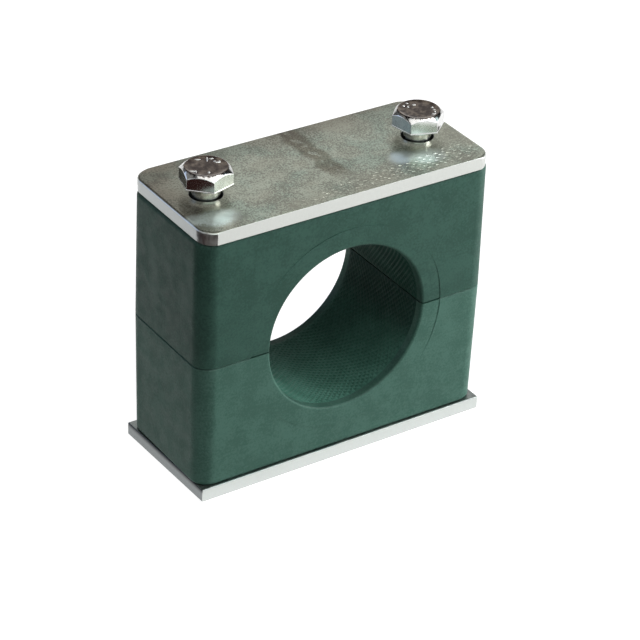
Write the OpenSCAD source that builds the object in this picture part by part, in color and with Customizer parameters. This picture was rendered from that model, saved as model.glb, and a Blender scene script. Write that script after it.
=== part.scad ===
// Tube holder: two identical moulded halves clamp a tube between a weld plate and a
// cover plate, and two hexagon bolts run through the stack into the weld plate's collars.
// Millimetres, +Z up, the origin in the middle of the weld plate's underside. The tube
// runs along Y and the bolts stand on the X axis.

/* [Bore] */
// Outside diameter of the tube that the halves close around
tube_od = 38.1; // [33.7:0.1:40]
// Radius of the rounding at each mouth of the bore
rim_r = 0.6; // [0.3:0.1:1]
// Width of the flat ring that surrounds the bore on the front and back faces
ring_w = 4.65; // [3.5:0.05:5]
// How far the flat rings lie in from the front and back faces at the split
ring_set = 0.15; // [0.05:0.05:0.25]
// Depth of the relief that each half has at the split, inside the flat ring
relief = 0.2; // [0.1:0.05:0.4]

/* [Halves] */
// Length of a half along X where the halves meet
body_l = 71.4; // [68:0.2:78]
// Width of a half along Y where the halves meet
body_w = 29.8; // [28:0.1:32]
// Height of one half
half_h = 29; // [27:0.5:33]
// How far one end leans in between the split and the outer face, on the left of the upper half
end_lean = 0.3; // [0.1:0.05:1]
// How far the other end leans in, on the right of the upper half and the left of the lower one
far_lean = 0.05; // [0:0.05:1]
// How far the front and back lean in between the split and the outer face
face_lean = 0.3; // [0.1:0.1:0.6]
// Radius of the upright corners
corner_r = 4; // [2:0.25:6]
// Radius of the rounding along the outer face
edge_r = 0.9; // [0.4:0.1:1.6]
// Width of the small break along the edges of the split
split_break = 0.25; // [0.1:0.05:0.5]

/* [Weld plate] */
// How far the weld plate stands out past the halves at each end
weld_end = 0.3; // [0.1:0.1:4]
// How far the weld plate stands out past the halves in front and behind
weld_side = 0.1; // [0.1:0.1:2]
// How far the shear drew in the front corner at the weld plate's left end
shear_skew = 0.9; // [0:0.1:1.5]
// Thickness of the weld plate
weld_t = 3; // [2:0.25:5]
// Outside diameter of the threaded collars drawn up from the weld plate
collar_od = 11; // [9.5:0.25:12]
// Height of the collars above the weld plate
collar_h = 6.5; // [5:0.25:8]
// Radius of the drawn mouth under each collar
mouth_r = 1; // [0.5:0.1:1.5]

/* [Cover plate] */
// How far the cover plate stops short of the split's length at each end
cover_end = 0.7; // [0:0.1:2]
// How far the cover plate stands out past the halves' widest line in front and behind
cover_side = 0.1; // [0:0.1:1]
// Thickness of the cover plate
cover_t = 3; // [2:0.25:5]
// Radius of the cover plate's corners
cover_r = 4.25; // [2:0.25:6]
// How far the punch that rounds the ends reaches past the strip on each side
punch_past = 0.25; // [0:0.05:0.5]

/* [Bolts] */
// Distance of each bolt from the end of the halves
bolt_inset = 9.7; // [8:0.1:10.5]
// Thread diameter of the bolts
bolt_d = 6; // [5:0.5:6.5]
// Width of the bolt head across its flats
head_af = 10; // [9:0.25:11]
// Height of the bolt head with its washer face
head_h = 4; // [3:0.1:5]
// Height of the round washer face under the head
face_h = 0.5; // [0.2:0.05:0.6]
// Diameter of the washer face
face_d = 8.9; // [8:0.1:9.5]
// Diameter of the flat on top of the head
crown_d = 9; // [7.5:0.1:9.4]
// Slope of the chamfer around the flat on top of the head, in degrees
crown_slope = 42; // [15:1:50]
// Width of the chamfer at the bolt's tip
tip_chamfer = 0.8; // [0.4:0.1:1.2]
// How far the left bolt stands off the cover plate, screwed in by hand
left_lift = 2.3; // [1:0.1:4]
// How far the right bolt stands off the cover plate, screwed in by hand
right_lift = 2.1; // [1:0.1:4]
// Turn of the left head about its own axis, in degrees
left_turn = 15.6; // [0:0.1:59.9]
// Turn of the right head about its own axis, in degrees
right_turn = 39.7; // [0:0.1:59.9]
// Length of thread that the left bolt has in its collar
thread_in = 3.2; // [2:0.1:4]

/* [Clearances] */
// Gap around a bolt in the cover plate and in the halves
hole_gap = 0.5; // [0.3:0.05:0.8]
// Gap around a bolt in its threaded collar, standing in for the thread's play
thread_gap = 0.05; // [0.02:0.01:0.1]
// Gap around and above a collar in the recess of the lower half
collar_gap = 0.5; // [0.3:0.05:0.8]
// Width of the lead-in at the mouth of the collar's thread
lead_in = 0.6; // [0.3:0.1:1]

/* [Hidden] */
LEFT = -1;
RIGHT = 1;
SIDES = [LEFT, RIGHT];
// Facets of a true circle, and of a corner in a rounded shell
ROUND = 96;
CORNER = 32;
// Steps in the rounding along a half's outer face
EDGE_STEPS = 4;
// Thickness of the slices that a shell is stretched over
SLICE = 0.01;
// Length by which a cut runs past the surface that it opens
PAST = 1;

bore_r = tube_od / 2;
ring_span = body_w - 2 * ring_set;
bolt_pitch = body_l - 2 * bolt_inset;
weld_l = body_l + 2 * weld_end;
weld_w = body_w + 2 * weld_side;
cover_l = body_l - 2 * cover_end;
cover_w = body_w + 2 * cover_side;
ring_r = bore_r + ring_w;
bolt_r = bolt_d / 2;
hole_r = bolt_r + hole_gap;
recess_r = collar_od / 2 + collar_gap;
recess_h = collar_h + collar_gap;
split_z = weld_t + half_h;
cover_z = split_z + half_h;
seat_z = cover_z + cover_t;
bolt_l = seat_z + left_lift - (weld_t + collar_h - thread_in);

function bolt_x(side) = side * bolt_pitch / 2;

// Rectangle with round corners, centred on the origin
module rounded_rect(l, w, r, facets) {
    square([l - 2 * r, w], center = true);
    square([l, w - 2 * r], center = true);
    for (x = SIDES, y = SIDES)
        translate([x * (l / 2 - r), y * (w / 2 - r)]) circle(r, $fn = facets);
}

// Turns what stands on Z to lie along the tube, on Y
module along_tube() {
    rotate([90, 0, 0]) children();
}

// Thin slice of a half at height z above the split, drawn in by inset all round
module shell_slice(z, inset) {
    lean = z / half_h;
    translate([(end_lean - far_lean) * lean / 2, 0, z])
        linear_extrude(SLICE)
            rounded_rect(body_l - (end_lean + far_lean) * lean - 2 * inset,
                         body_w - 2 * (face_lean * lean + inset),
                         corner_r - inset, CORNER);
}

// Outside of a half: leaning sides, round corners, a rounded outer face and a broken split edge
module half_shell() {
    hull() {
        shell_slice(0, split_break);
        shell_slice(split_break, 0);
        for (step = [0 : EDGE_STEPS]) {
            turn = 90 * step / EDGE_STEPS;
            shell_slice(half_h - SLICE - edge_r * (1 - sin(turn)), edge_r * (1 - cos(turn)));
        }
    }
}

// Part of the bore's ring that belongs to one half, flat at both ends
module ring_block() {
    intersection() {
        along_tube() cylinder(r = ring_r, h = ring_span, center = true, $fn = ROUND);
        translate([-ring_r, -ring_span, 0]) cube([2 * ring_r, 2 * ring_span, half_h - edge_r]);
    }
}

// Cuts the bore with a rounded rim at each mouth
module bore_cut() {
    along_tube() cylinder(r = bore_r, h = 2 * body_w, center = true, $fn = ROUND);
    for (side = SIDES)
        rotate([side * 90, 0, 0]) translate([0, 0, ring_span / 2 - rim_r])
            rotate_extrude($fn = ROUND)
                difference() {
                    translate([bore_r - rim_r, 0]) square([2 * rim_r, rim_r + PAST]);
                    translate([bore_r + rim_r, 0]) circle(rim_r, $fn = ROUND);
                }
}

// Clears the leaning faces in front of and behind the flat ring
module ring_face_cut() {
    for (side = SIDES)
        rotate([side * 90, 0, 0]) translate([0, 0, ring_span / 2])
            cylinder(r = ring_r, h = body_w, $fn = ROUND);
}

// Lowers the split face inside the ring, so that the halves grip the tube before they meet
module relief_cut() {
    intersection() {
        along_tube() cylinder(r = ring_r, h = 2 * body_w, center = true, $fn = ROUND);
        cube([2 * ring_r, 2 * body_w, 2 * relief], center = true);
    }
}

// Bolt hole with the round recess that takes a collar of the weld plate
module bolt_cut() {
    translate([0, 0, -PAST]) cylinder(r = hole_r, h = half_h + 2 * PAST, $fn = ROUND);
    translate([0, 0, half_h - recess_h]) cylinder(r = recess_r, h = recess_h + PAST, $fn = ROUND);
}

// One moulded half, its split face down on z = 0
module clamp_half() {
    color([0.25, 0.40, 0.36])
        difference() {
            union() {
                half_shell();
                ring_block();
            }
            ring_face_cut();
            bore_cut();
            relief_cut();
            for (side = SIDES) translate([bolt_x(side), 0, 0]) bolt_cut();
        }
}

module lower_half() {
    translate([0, 0, split_z]) rotate([0, 180, 0]) clamp_half();
}

module upper_half() {
    translate([0, 0, split_z]) clamp_half();
}

// Threaded hole of a collar: drawn mouth below, lead-in above
module collar_cut() {
    thread_r = bolt_r + thread_gap;
    top_z = weld_t + collar_h;
    translate([0, 0, -PAST]) cylinder(r = thread_r, h = top_z + 2 * PAST, $fn = ROUND);
    translate([0, 0, top_z - lead_in])
        cylinder(r1 = thread_r, r2 = thread_r + lead_in + PAST, h = lead_in + PAST, $fn = ROUND);
    rotate_extrude($fn = ROUND)
        difference() {
            translate([0, -PAST]) square([thread_r + mouth_r, mouth_r + PAST]);
            translate([thread_r + mouth_r, mouth_r]) circle(mouth_r, $fn = ROUND);
        }
}

// Outline of the weld plate, whose left end is a little out of square
module weld_outline() {
    polygon([[-weld_l / 2 + shear_skew, -weld_w / 2], [weld_l / 2, -weld_w / 2],
             [weld_l / 2, weld_w / 2], [-weld_l / 2, weld_w / 2]]);
}

// Sheared steel plate with two threaded collars drawn up from it
module weld_plate() {
    color([0.80, 0.81, 0.80])
        difference() {
            union() {
                linear_extrude(weld_t) weld_outline();
                for (side = SIDES) translate([bolt_x(side), 0, 0])
                    cylinder(d = collar_od, h = weld_t + collar_h, $fn = ROUND);
            }
            for (side = SIDES) translate([bolt_x(side), 0, 0]) collar_cut();
        }
}

// Strip with round punched ends, which spreads the bolts' load over the upper half
module cover_plate() {
    color([0.55, 0.55, 0.50])
        translate([0, 0, cover_z])
            linear_extrude(cover_t)
                difference() {
                    intersection() {
                        rounded_rect(cover_l, cover_w + 2 * punch_past, cover_r, ROUND);
                        square([cover_l, cover_w], center = true);
                    }
                    for (side = SIDES) translate([bolt_x(side), 0]) circle(hole_r, $fn = ROUND);
                }
}

// Hexagon head above z = 0, with its washer face and the chamfered crown
module bolt_head(turn) {
    corner = head_af / cos(30);
    cylinder(d = face_d, h = face_h + SLICE, $fn = ROUND);
    intersection() {
        translate([0, 0, face_h]) rotate([0, 0, turn])
            cylinder(d = corner, h = head_h - face_h, $fn = 6);
        cylinder(r1 = crown_d / 2 + head_h / tan(crown_slope), r2 = crown_d / 2, h = head_h, $fn = ROUND);
    }
}

// Shank below z = 0, with a chamfered tip
module bolt_shank() {
    translate([0, 0, tip_chamfer - bolt_l]) cylinder(r = bolt_r, h = bolt_l - tip_chamfer + face_h, $fn = ROUND);
    translate([0, 0, -bolt_l]) cylinder(r1 = bolt_r - tip_chamfer, r2 = bolt_r, h = tip_chamfer, $fn = ROUND);
}

module hex_bolt(side, lift, turn) {
    color([0.72, 0.72, 0.70])
        translate([bolt_x(side), 0, seat_z + lift]) {
            bolt_head(turn);
            bolt_shank();
        }
}

module left_bolt() {
    hex_bolt(LEFT, left_lift, left_turn);
}

module right_bolt() {
    hex_bolt(RIGHT, right_lift, right_turn);
}

weld_plate();
lower_half();
upper_half();
cover_plate();
left_bolt();
right_bolt();
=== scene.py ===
"""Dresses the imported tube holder: the studio, the finishes, and the small forms on its pieces.

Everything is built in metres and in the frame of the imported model: +X runs from the left bolt to
the right one, +Y runs along the tube to the back, and +Z runs up from the weld plate's underside.
The pieces' own sizes are in millimetres, and a name that ends in _mm says so for a finish.
"""

import logging
import math
from dataclasses import dataclass, field, replace
from enum import Enum
from typing import Sequence

import bpy
import numpy as np
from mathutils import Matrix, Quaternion, Vector, geometry


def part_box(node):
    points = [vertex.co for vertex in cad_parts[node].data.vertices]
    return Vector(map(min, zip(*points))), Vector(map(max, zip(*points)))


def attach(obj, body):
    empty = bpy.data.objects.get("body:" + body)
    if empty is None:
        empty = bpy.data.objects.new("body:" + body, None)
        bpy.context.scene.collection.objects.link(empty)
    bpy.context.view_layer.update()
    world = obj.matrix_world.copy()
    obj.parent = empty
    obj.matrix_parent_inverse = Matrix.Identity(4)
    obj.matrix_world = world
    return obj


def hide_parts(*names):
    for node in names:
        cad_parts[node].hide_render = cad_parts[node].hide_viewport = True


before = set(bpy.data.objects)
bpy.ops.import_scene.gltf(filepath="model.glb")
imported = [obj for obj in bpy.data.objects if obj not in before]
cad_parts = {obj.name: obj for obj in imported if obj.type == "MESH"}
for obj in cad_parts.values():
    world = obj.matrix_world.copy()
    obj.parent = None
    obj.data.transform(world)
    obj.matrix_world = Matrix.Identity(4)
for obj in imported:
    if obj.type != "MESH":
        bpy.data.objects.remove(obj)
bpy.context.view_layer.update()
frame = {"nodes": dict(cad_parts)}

LOG = logging.getLogger("tube_holder")
MM = 0.001
BOLT_PITCH = 52.0

Socket = bpy.types.NodeSocket
Colour = tuple[float, float, float]
Triple = tuple[float, float, float]
Span = tuple[float, float]
Amount = Socket | float
Paint = Socket | Colour
Faces = list[tuple[int, ...]]
Loops = tuple[list[int], list[int]]

# Where most of a noise's values lie, for a soft change and for a quicker one.
BROAD: Span = (0.3, 0.7)
NARROW: Span = (0.35, 0.65)

# One side of a hexagon, in radians.
SIDE = math.pi / 3

# The corners of a square sheet, as shares of its half width and half height.
CORNERS = ((-1, -1), (1, -1), (1, 1), (-1, 1))

# How near two points of a flat count as one in millimetres, and what rounding can add to an angle.
NEAR_MM = 1e-7
SLACK = 1e-9


class Body(str, Enum):
    """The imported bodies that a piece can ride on."""

    BASE = "base"
    TOP = "top"
    BOLT_LEFT = "bolt_left"
    BOLT_RIGHT = "bolt_right"


class Slot(str, Enum):
    """The record's material slots."""

    PLASTIC = "green_plastic"
    COVER = "cover_plate_zinc"
    BOLT = "bolt_zinc"


class Half(Enum):
    """The two moulded halves, each with the way that its bore faces."""

    LOWER = -1
    UPPER = 1


def metres(span: Span) -> Span:
    """A span of millimetres in metres."""
    return span[0] * MM, span[1] * MM


def times(share: float, colour: Colour) -> Colour:
    """A colour made lighter or darker."""
    return tuple(share * c for c in colour)


# Shader graphs


@dataclass(frozen=True)
class Noise:
    """A noise: a feature's size, the finer layers and their strength, and how far it is swirled.

    One with a stretch is scaled along each axis, after a turn in radians.
    """

    size_mm: float
    detail: float = 2.0
    roughness: float = 0.5
    stretch: Triple | None = None
    turn: Triple = (0.0, 0.0, 0.0)
    distortion: float = 0.0


class Graph:
    """A material's node tree, built with short calls that return output sockets.

    The Mix node's inputs and outputs share their names, so they are found by number.
    """

    NUMBER_A, NUMBER_B = 2, 3
    COLOUR_A, COLOUR_B, COLOUR_RESULT = 6, 7, 2

    def __init__(self, name: str) -> None:
        """Starts an empty material.

        Args:
            name: the material's name.
        """
        self.material = bpy.data.materials.new(name)
        self.material.use_nodes = True
        self.tree = self.material.node_tree
        self.tree.nodes.clear()
        self.output = self.tree.nodes.new("ShaderNodeOutputMaterial")

    def node(self, kind: str, inputs: dict | None = None, **settings: object) -> bpy.types.Node:
        """Adds a node.

        Args:
            kind: the node's type, without its ShaderNode prefix.
            inputs: values or sockets for its inputs, by name or index.
            settings: the node's own settings.

        Returns:
            The new node.
        """
        made = self.tree.nodes.new("ShaderNode" + kind)
        for key, value in settings.items():
            setattr(made, key, value)
        for key, value in (inputs or {}).items():
            self.feed(made.inputs[key], value)
        return made

    def feed(self, socket: Socket, value: object) -> None:
        """Sets an input to a constant, or links it to another socket.

        Args:
            socket: the input.
            value: a number, a vector, a colour, or the socket to link.
        """
        if isinstance(value, bpy.types.NodeSocket):
            self.tree.links.new(value, socket)
        elif isinstance(value, tuple) and len(value) == 3 and socket.type == "RGBA":
            socket.default_value = (*value, 1.0)
        else:
            socket.default_value = value

    def place(self) -> Socket:
        """Position on the object, in metres."""
        return self.node("TexCoord").outputs["Object"]

    def normal(self) -> Socket:
        """The way that the surface looks."""
        return self.node("NewGeometry").outputs["Normal"]

    def stretched(self, scale: Triple, turn: Triple) -> Socket:
        """Position on the object, turned and then scaled along each axis."""
        turned = self.node("Mapping", {"Vector": self.place(), "Rotation": turn}).outputs[0]
        return self.node("Mapping", {"Vector": turned, "Scale": scale}).outputs[0]

    def noise(self, pattern: Noise) -> Socket:
        """Adds a noise.

        Args:
            pattern: what it looks like.

        Returns:
            Its value, from 0 to 1.
        """
        place = self.place() if pattern.stretch is None else self.stretched(pattern.stretch, pattern.turn)
        return self.node("TexNoise", {
            "Vector": place, "Scale": 1 / (pattern.size_mm * MM), "Detail": pattern.detail,
            "Roughness": pattern.roughness, "Distortion": pattern.distortion,
        }).outputs[0]

    def ramp(self, value: Socket, low: float, high: float, to_low: float = 0.0,
             to_high: float = 1.0) -> Socket:
        """Maps a value from one range to another, smoothly and clamped."""
        return self.node("MapRange", {"Value": value, "From Min": low, "From Max": high, "To Min": to_low,
                                      "To Max": to_high}, interpolation_type="SMOOTHSTEP").outputs[0]

    def maths(self, operation: str, a: Amount, b: Amount = 0.0, clamp: bool = False) -> Socket:
        """One sum of two numbers."""
        return self.node("Math", {0: a, 1: b}, operation=operation, use_clamp=clamp).outputs[0]

    def product(self, a: Amount, b: Amount) -> Socket:
        """One number times another."""
        return self.maths("MULTIPLY", a, b)

    def swing(self, value: Socket, reach: float) -> Socket:
        """Centres a noise on zero and gives it a reach from end to end."""
        return self.product(self.maths("SUBTRACT", value, 0.5), reach)

    def squares(self, a: Socket, b: Socket) -> Socket:
        """The sum of two squares."""
        return self.maths("ADD", self.product(a, a), self.product(b, b))

    def weighted(self, parts: Sequence[Socket], weights: Sequence[float], clamp: bool = False) -> Socket:
        """Adds up values, each times its own weight.

        Args:
            parts: the values.
            weights: their weights.
            clamp: whether the sum is kept between 0 and 1.

        Returns:
            The sum.
        """
        total = self.product(parts[0], weights[0])
        for part, weight in zip(parts[1:], weights[1:]):
            total = self.maths("ADD", total, self.product(part, weight), clamp)
        return total

    def mix(self, share: Amount, a: Paint, b: Paint, blend: str = "MIX") -> Socket:
        """Mixes two colours.

        Args:
            share: how far the second shows, from 0 to 1.
            a: the first colour.
            b: the second colour.
            blend: the way that the second is laid over the first.

        Returns:
            The mixed colour.
        """
        made = self.node("Mix", {"Factor": share}, data_type="RGBA", blend_type=blend)
        self.feed(made.inputs[self.COLOUR_A], a)
        self.feed(made.inputs[self.COLOUR_B], b)
        return made.outputs[self.COLOUR_RESULT]

    def blend(self, share: Socket, a: Socket, b: Socket) -> Socket:
        """Mixes two numbers."""
        inputs = {"Factor": share, self.NUMBER_A: a, self.NUMBER_B: b}
        return self.node("Mix", inputs, data_type="FLOAT").outputs[0]

    def tinted(self, share: Socket, colour: Socket, tint: Colour) -> Socket:
        """Multiplies a colour by a tint, as far as a share says."""
        return self.mix(share, colour, self.mix(1.0, colour, tint, "MULTIPLY"))

    def split(self, vector: Socket) -> tuple[Socket, Socket, Socket]:
        """The three parts of a vector."""
        made = self.node("SeparateXYZ", {0: vector})
        return made.outputs[0], made.outputs[1], made.outputs[2]

    def edge(self, radius_mm: float, span: Span = (0.995, 0.90), samples: int = 4) -> Socket:
        """Finds sharp edges.

        Args:
            radius_mm: how far from an edge it looks, in millimetres.
            span: how well the rounded direction agrees with the plain one, away from an edge and at it.
            samples: the number of directions that it looks in.

        Returns:
            1 along sharp edges, 0 away from them.
        """
        rounded = self.node("Bevel", {"Radius": radius_mm * MM}, samples=samples).outputs[0]
        inputs = {0: rounded, 1: self.normal()}
        agreement = self.node("VectorMath", inputs, operation="DOT_PRODUCT").outputs["Value"]
        return self.ramp(agreement, *span)

    def bump(self, height: Socket, depth_mm: float, strength: float, under: Socket | None = None) -> Socket:
        """Bumps the surface.

        Args:
            height: the height, from 0 to 1.
            depth_mm: how deep the full height is, in millimetres.
            strength: how much of it shows.
            under: a normal that is already bumped.

        Returns:
            The bumped normal.
        """
        inputs = {"Height": height, "Distance": depth_mm * MM, "Strength": strength}
        if under is not None:
            inputs["Normal"] = under
        return self.node("Bump", inputs).outputs[0]

    def metal(self, colour: Socket, roughness: Amount, normal: Socket) -> Socket:
        """A bare metal surface."""
        return self.node("BsdfPrincipled", {"Base Color": colour, "Roughness": roughness, "Normal": normal,
                                            "Metallic": 1.0}).outputs[0]

    def finish(self, shader: Socket) -> bpy.types.Material:
        """Plugs the surface in and returns the material."""
        self.tree.links.new(shader, self.output.inputs["Surface"])
        return self.material


# Finishes


@dataclass(frozen=True)
class MouldedPlastic:
    """Matt moulded polypropylene: cloudy colour, fine grain, paler where it is rubbed.

    A span is the range of a noise, or of one part of the surface's direction, over which the
    change is made.
    """

    name: str = "moulded_green"
    deep: Colour = (0.039, 0.111, 0.083)
    pale: Colour = (0.058, 0.151, 0.116)
    rubbed: Colour = (0.105, 0.205, 0.168)
    roughness: Span = (0.45, 0.56)
    shine: float = 0.20
    clouds: Noise = Noise(7.0, 4, 0.6)
    specks: Noise = Noise(0.45, 2, 0.6)
    flow: Noise = Noise(2.2, 3, 0.6, (1, 1, 3.5))
    tone_weights: Triple = (0.48, 0.42, 0.10)
    tone_span: Span = (0.41, 0.59)
    # Painted light: a tint for faces that look to the front, and the part of the direction over which it
    # grows.
    painted_front_light: Colour = (1.0, 1.0, 1.0)
    painted_front_light_span: Span = (-0.35, -0.85)
    # Painted shade: how much darker faces that look up are, and the rise over which it grows.
    painted_crest_shade: float = 0.76
    painted_crest_span: Span = (0.25, 0.70)
    scuffs: Noise = Noise(0.5, 3, 0.7, (1, 1, 6), (0.3, 0.9, 0.2))
    scuff_span: Span = (0.70, 0.80)
    scuff_share: float = 0.35
    wear: Noise = Noise(1.6, 3, 0.7)
    wear_span: Span = (0.42, 0.66)
    wear_share: float = 0.5
    worn_edge_mm: float = 0.35
    # Painted shadow: the heights over which it deepens, its colour, its strength and how far its edge
    # wanders.
    painted_shadow_mm: Span = (0.0, 0.0)
    painted_shadow_colour: Colour = (0.008, 0.016, 0.013)
    painted_shadow_share: float = 0.55
    painted_shadow_wander_mm: float = 3.0
    grain: Noise = Noise(0.16)
    grain_bump: Span = (0.012, 0.6)
    cloud_bump: Span = (0.05, 0.4)
    patches: Noise = Noise(3.0, 3, 0.6)

    def lighter(self, name: str, share: float) -> "MouldedPlastic":
        """The same plastic with its colours made lighter or darker.

        Args:
            name: the new finish's name.
            share: how many times lighter its colours are.

        Returns:
            The new finish.
        """
        deep, pale, rubbed = (times(share, colour) for colour in (self.deep, self.pale, self.rubbed))
        return replace(self, name=name, deep=deep, pale=pale, rubbed=rubbed)

    def colour(self, g: Graph, clouds: Socket) -> Socket:
        """Cloudy colour, rubbed at edges, with painted light on faces that look to the front, painted shade
        on faces that look up and a painted shadow that deepens between two heights.

        Args:
            g: the material's graph.
            clouds: the noise that the bumps share.

        Returns:
            The colour.
        """
        flow = g.noise(self.flow)
        tone = g.weighted((clouds, g.noise(self.specks), flow), self.tone_weights)
        colour = g.mix(g.ramp(tone, *self.tone_span), self.deep, self.pale)
        _, towards_back, rise = g.split(g.normal())
        # Painted light: faces that look to the front get the tint.
        colour = g.tinted(g.ramp(towards_back, *self.painted_front_light_span), colour, self.painted_front_light)
        wear = g.product(g.edge(self.worn_edge_mm), g.ramp(g.noise(self.wear), *self.wear_span))
        scuffed = g.ramp(g.noise(self.scuffs), *self.scuff_span, 0.0, self.scuff_share)
        colour = g.mix(g.maths("MAXIMUM", g.product(wear, self.wear_share), scuffed), colour, self.rubbed)
        # Painted shade: faces that look up are darker, which dims the highlights on rims and top edges.
        colour = g.tinted(g.ramp(rise, *self.painted_crest_span), colour, (self.painted_crest_shade,) * 3)
        # Painted shadow: darker from the lower height up to the upper one and above it, with a wavering
        # edge, where the bore's rim shades the wall below the split.
        if any(self.painted_shadow_mm):
            height = g.maths("ADD", g.split(g.place())[2], g.swing(flow, self.painted_shadow_wander_mm * MM))
            colour = g.mix(g.ramp(height, *metres(self.painted_shadow_mm), 0.0, self.painted_shadow_share), colour, self.painted_shadow_colour)
        return colour

    def build(self) -> bpy.types.Material:
        """Builds the material.

        Returns:
            The material.
        """
        g = Graph(self.name)
        clouds = g.noise(self.clouds)
        normal = g.bump(clouds, *self.cloud_bump, g.bump(g.noise(self.grain), *self.grain_bump))
        surface = g.node("BsdfPrincipled", {
            "Base Color": self.colour(g, clouds), "Normal": normal,
            "Roughness": g.ramp(g.noise(self.patches), *BROAD, *self.roughness),
            "Specular IOR Level": self.shine, "Metallic": 0.0,
        })
        return g.finish(surface.outputs[0])


@dataclass(frozen=True)
class Smudge:
    """A dark streak of grease across a plate, with bare beads down its middle; places in millimetres."""

    tint: Colour = (0.52, 0.46, 0.42)
    share: float = 0.85
    x: float = 2.2
    fade_x: Span = (1.6, 2.9)
    fade_y: Span = (-9.0, -4.0)
    waves: Noise = Noise(4.0)
    wander: float = 3.0
    beads: Noise = Noise(2.2, 1)
    bead_span: Span = (0.47, 0.60)
    bead_fade_x: Span = (0.3, 1.1)
    bead_share: float = 0.9

    def mask(self, g: Graph, x: Socket, y: Socket) -> Socket:
        """Where the grease lies.

        Args:
            g: the material's graph.
            x: the place along the plate, in metres.
            y: the place across it, in metres.

        Returns:
            How far the grease shows, from 0 to 1.
        """
        waved = g.maths("ADD", x, g.swing(g.noise(self.waves), self.wander * MM))
        off = g.maths("ABSOLUTE", g.maths("SUBTRACT", waved, self.x * MM))
        band = g.product(g.ramp(off, *metres(self.fade_x), 1.0, 0.0), g.ramp(y, *metres(self.fade_y)))
        beads = g.product(g.ramp(off, *metres(self.bead_fade_x), 1.0, 0.0),
                          g.ramp(g.noise(self.beads), *self.bead_span))
        covered = g.maths("SUBTRACT", band, g.product(beads, self.bead_share), clamp=True)
        return g.product(covered, self.share)


@dataclass(frozen=True)
class PaintedLightPool:
    """A ragged pool of painted light, where a bolt's bright facets throw light onto the plate; shorter
    across the plate than along it; places in millimetres.
    """

    x: float
    y: float
    reach: float
    across: float = 0.75
    raggedness: float = 1.6
    fade: Span = (1.0, 0.05)

    def mask(self, g: Graph, x: Socket, y: Socket, grain: Socket) -> Socket:
        """Where the spot lies.

        Args:
            g: the material's graph.
            x: the place along the plate, in metres.
            y: the place across it, in metres.
            grain: the noise that breaks its edge.

        Returns:
            1 in its middle, 0 outside.
        """
        aside = g.maths("DIVIDE", g.maths("SUBTRACT", x, self.x * MM), self.reach * MM)
        ahead = g.maths("DIVIDE", g.maths("SUBTRACT", y, self.y * MM), self.across * self.reach * MM)
        away = g.maths("ADD", g.squares(aside, ahead), g.swing(grain, self.raggedness))
        return g.ramp(away, *self.fade)


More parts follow.
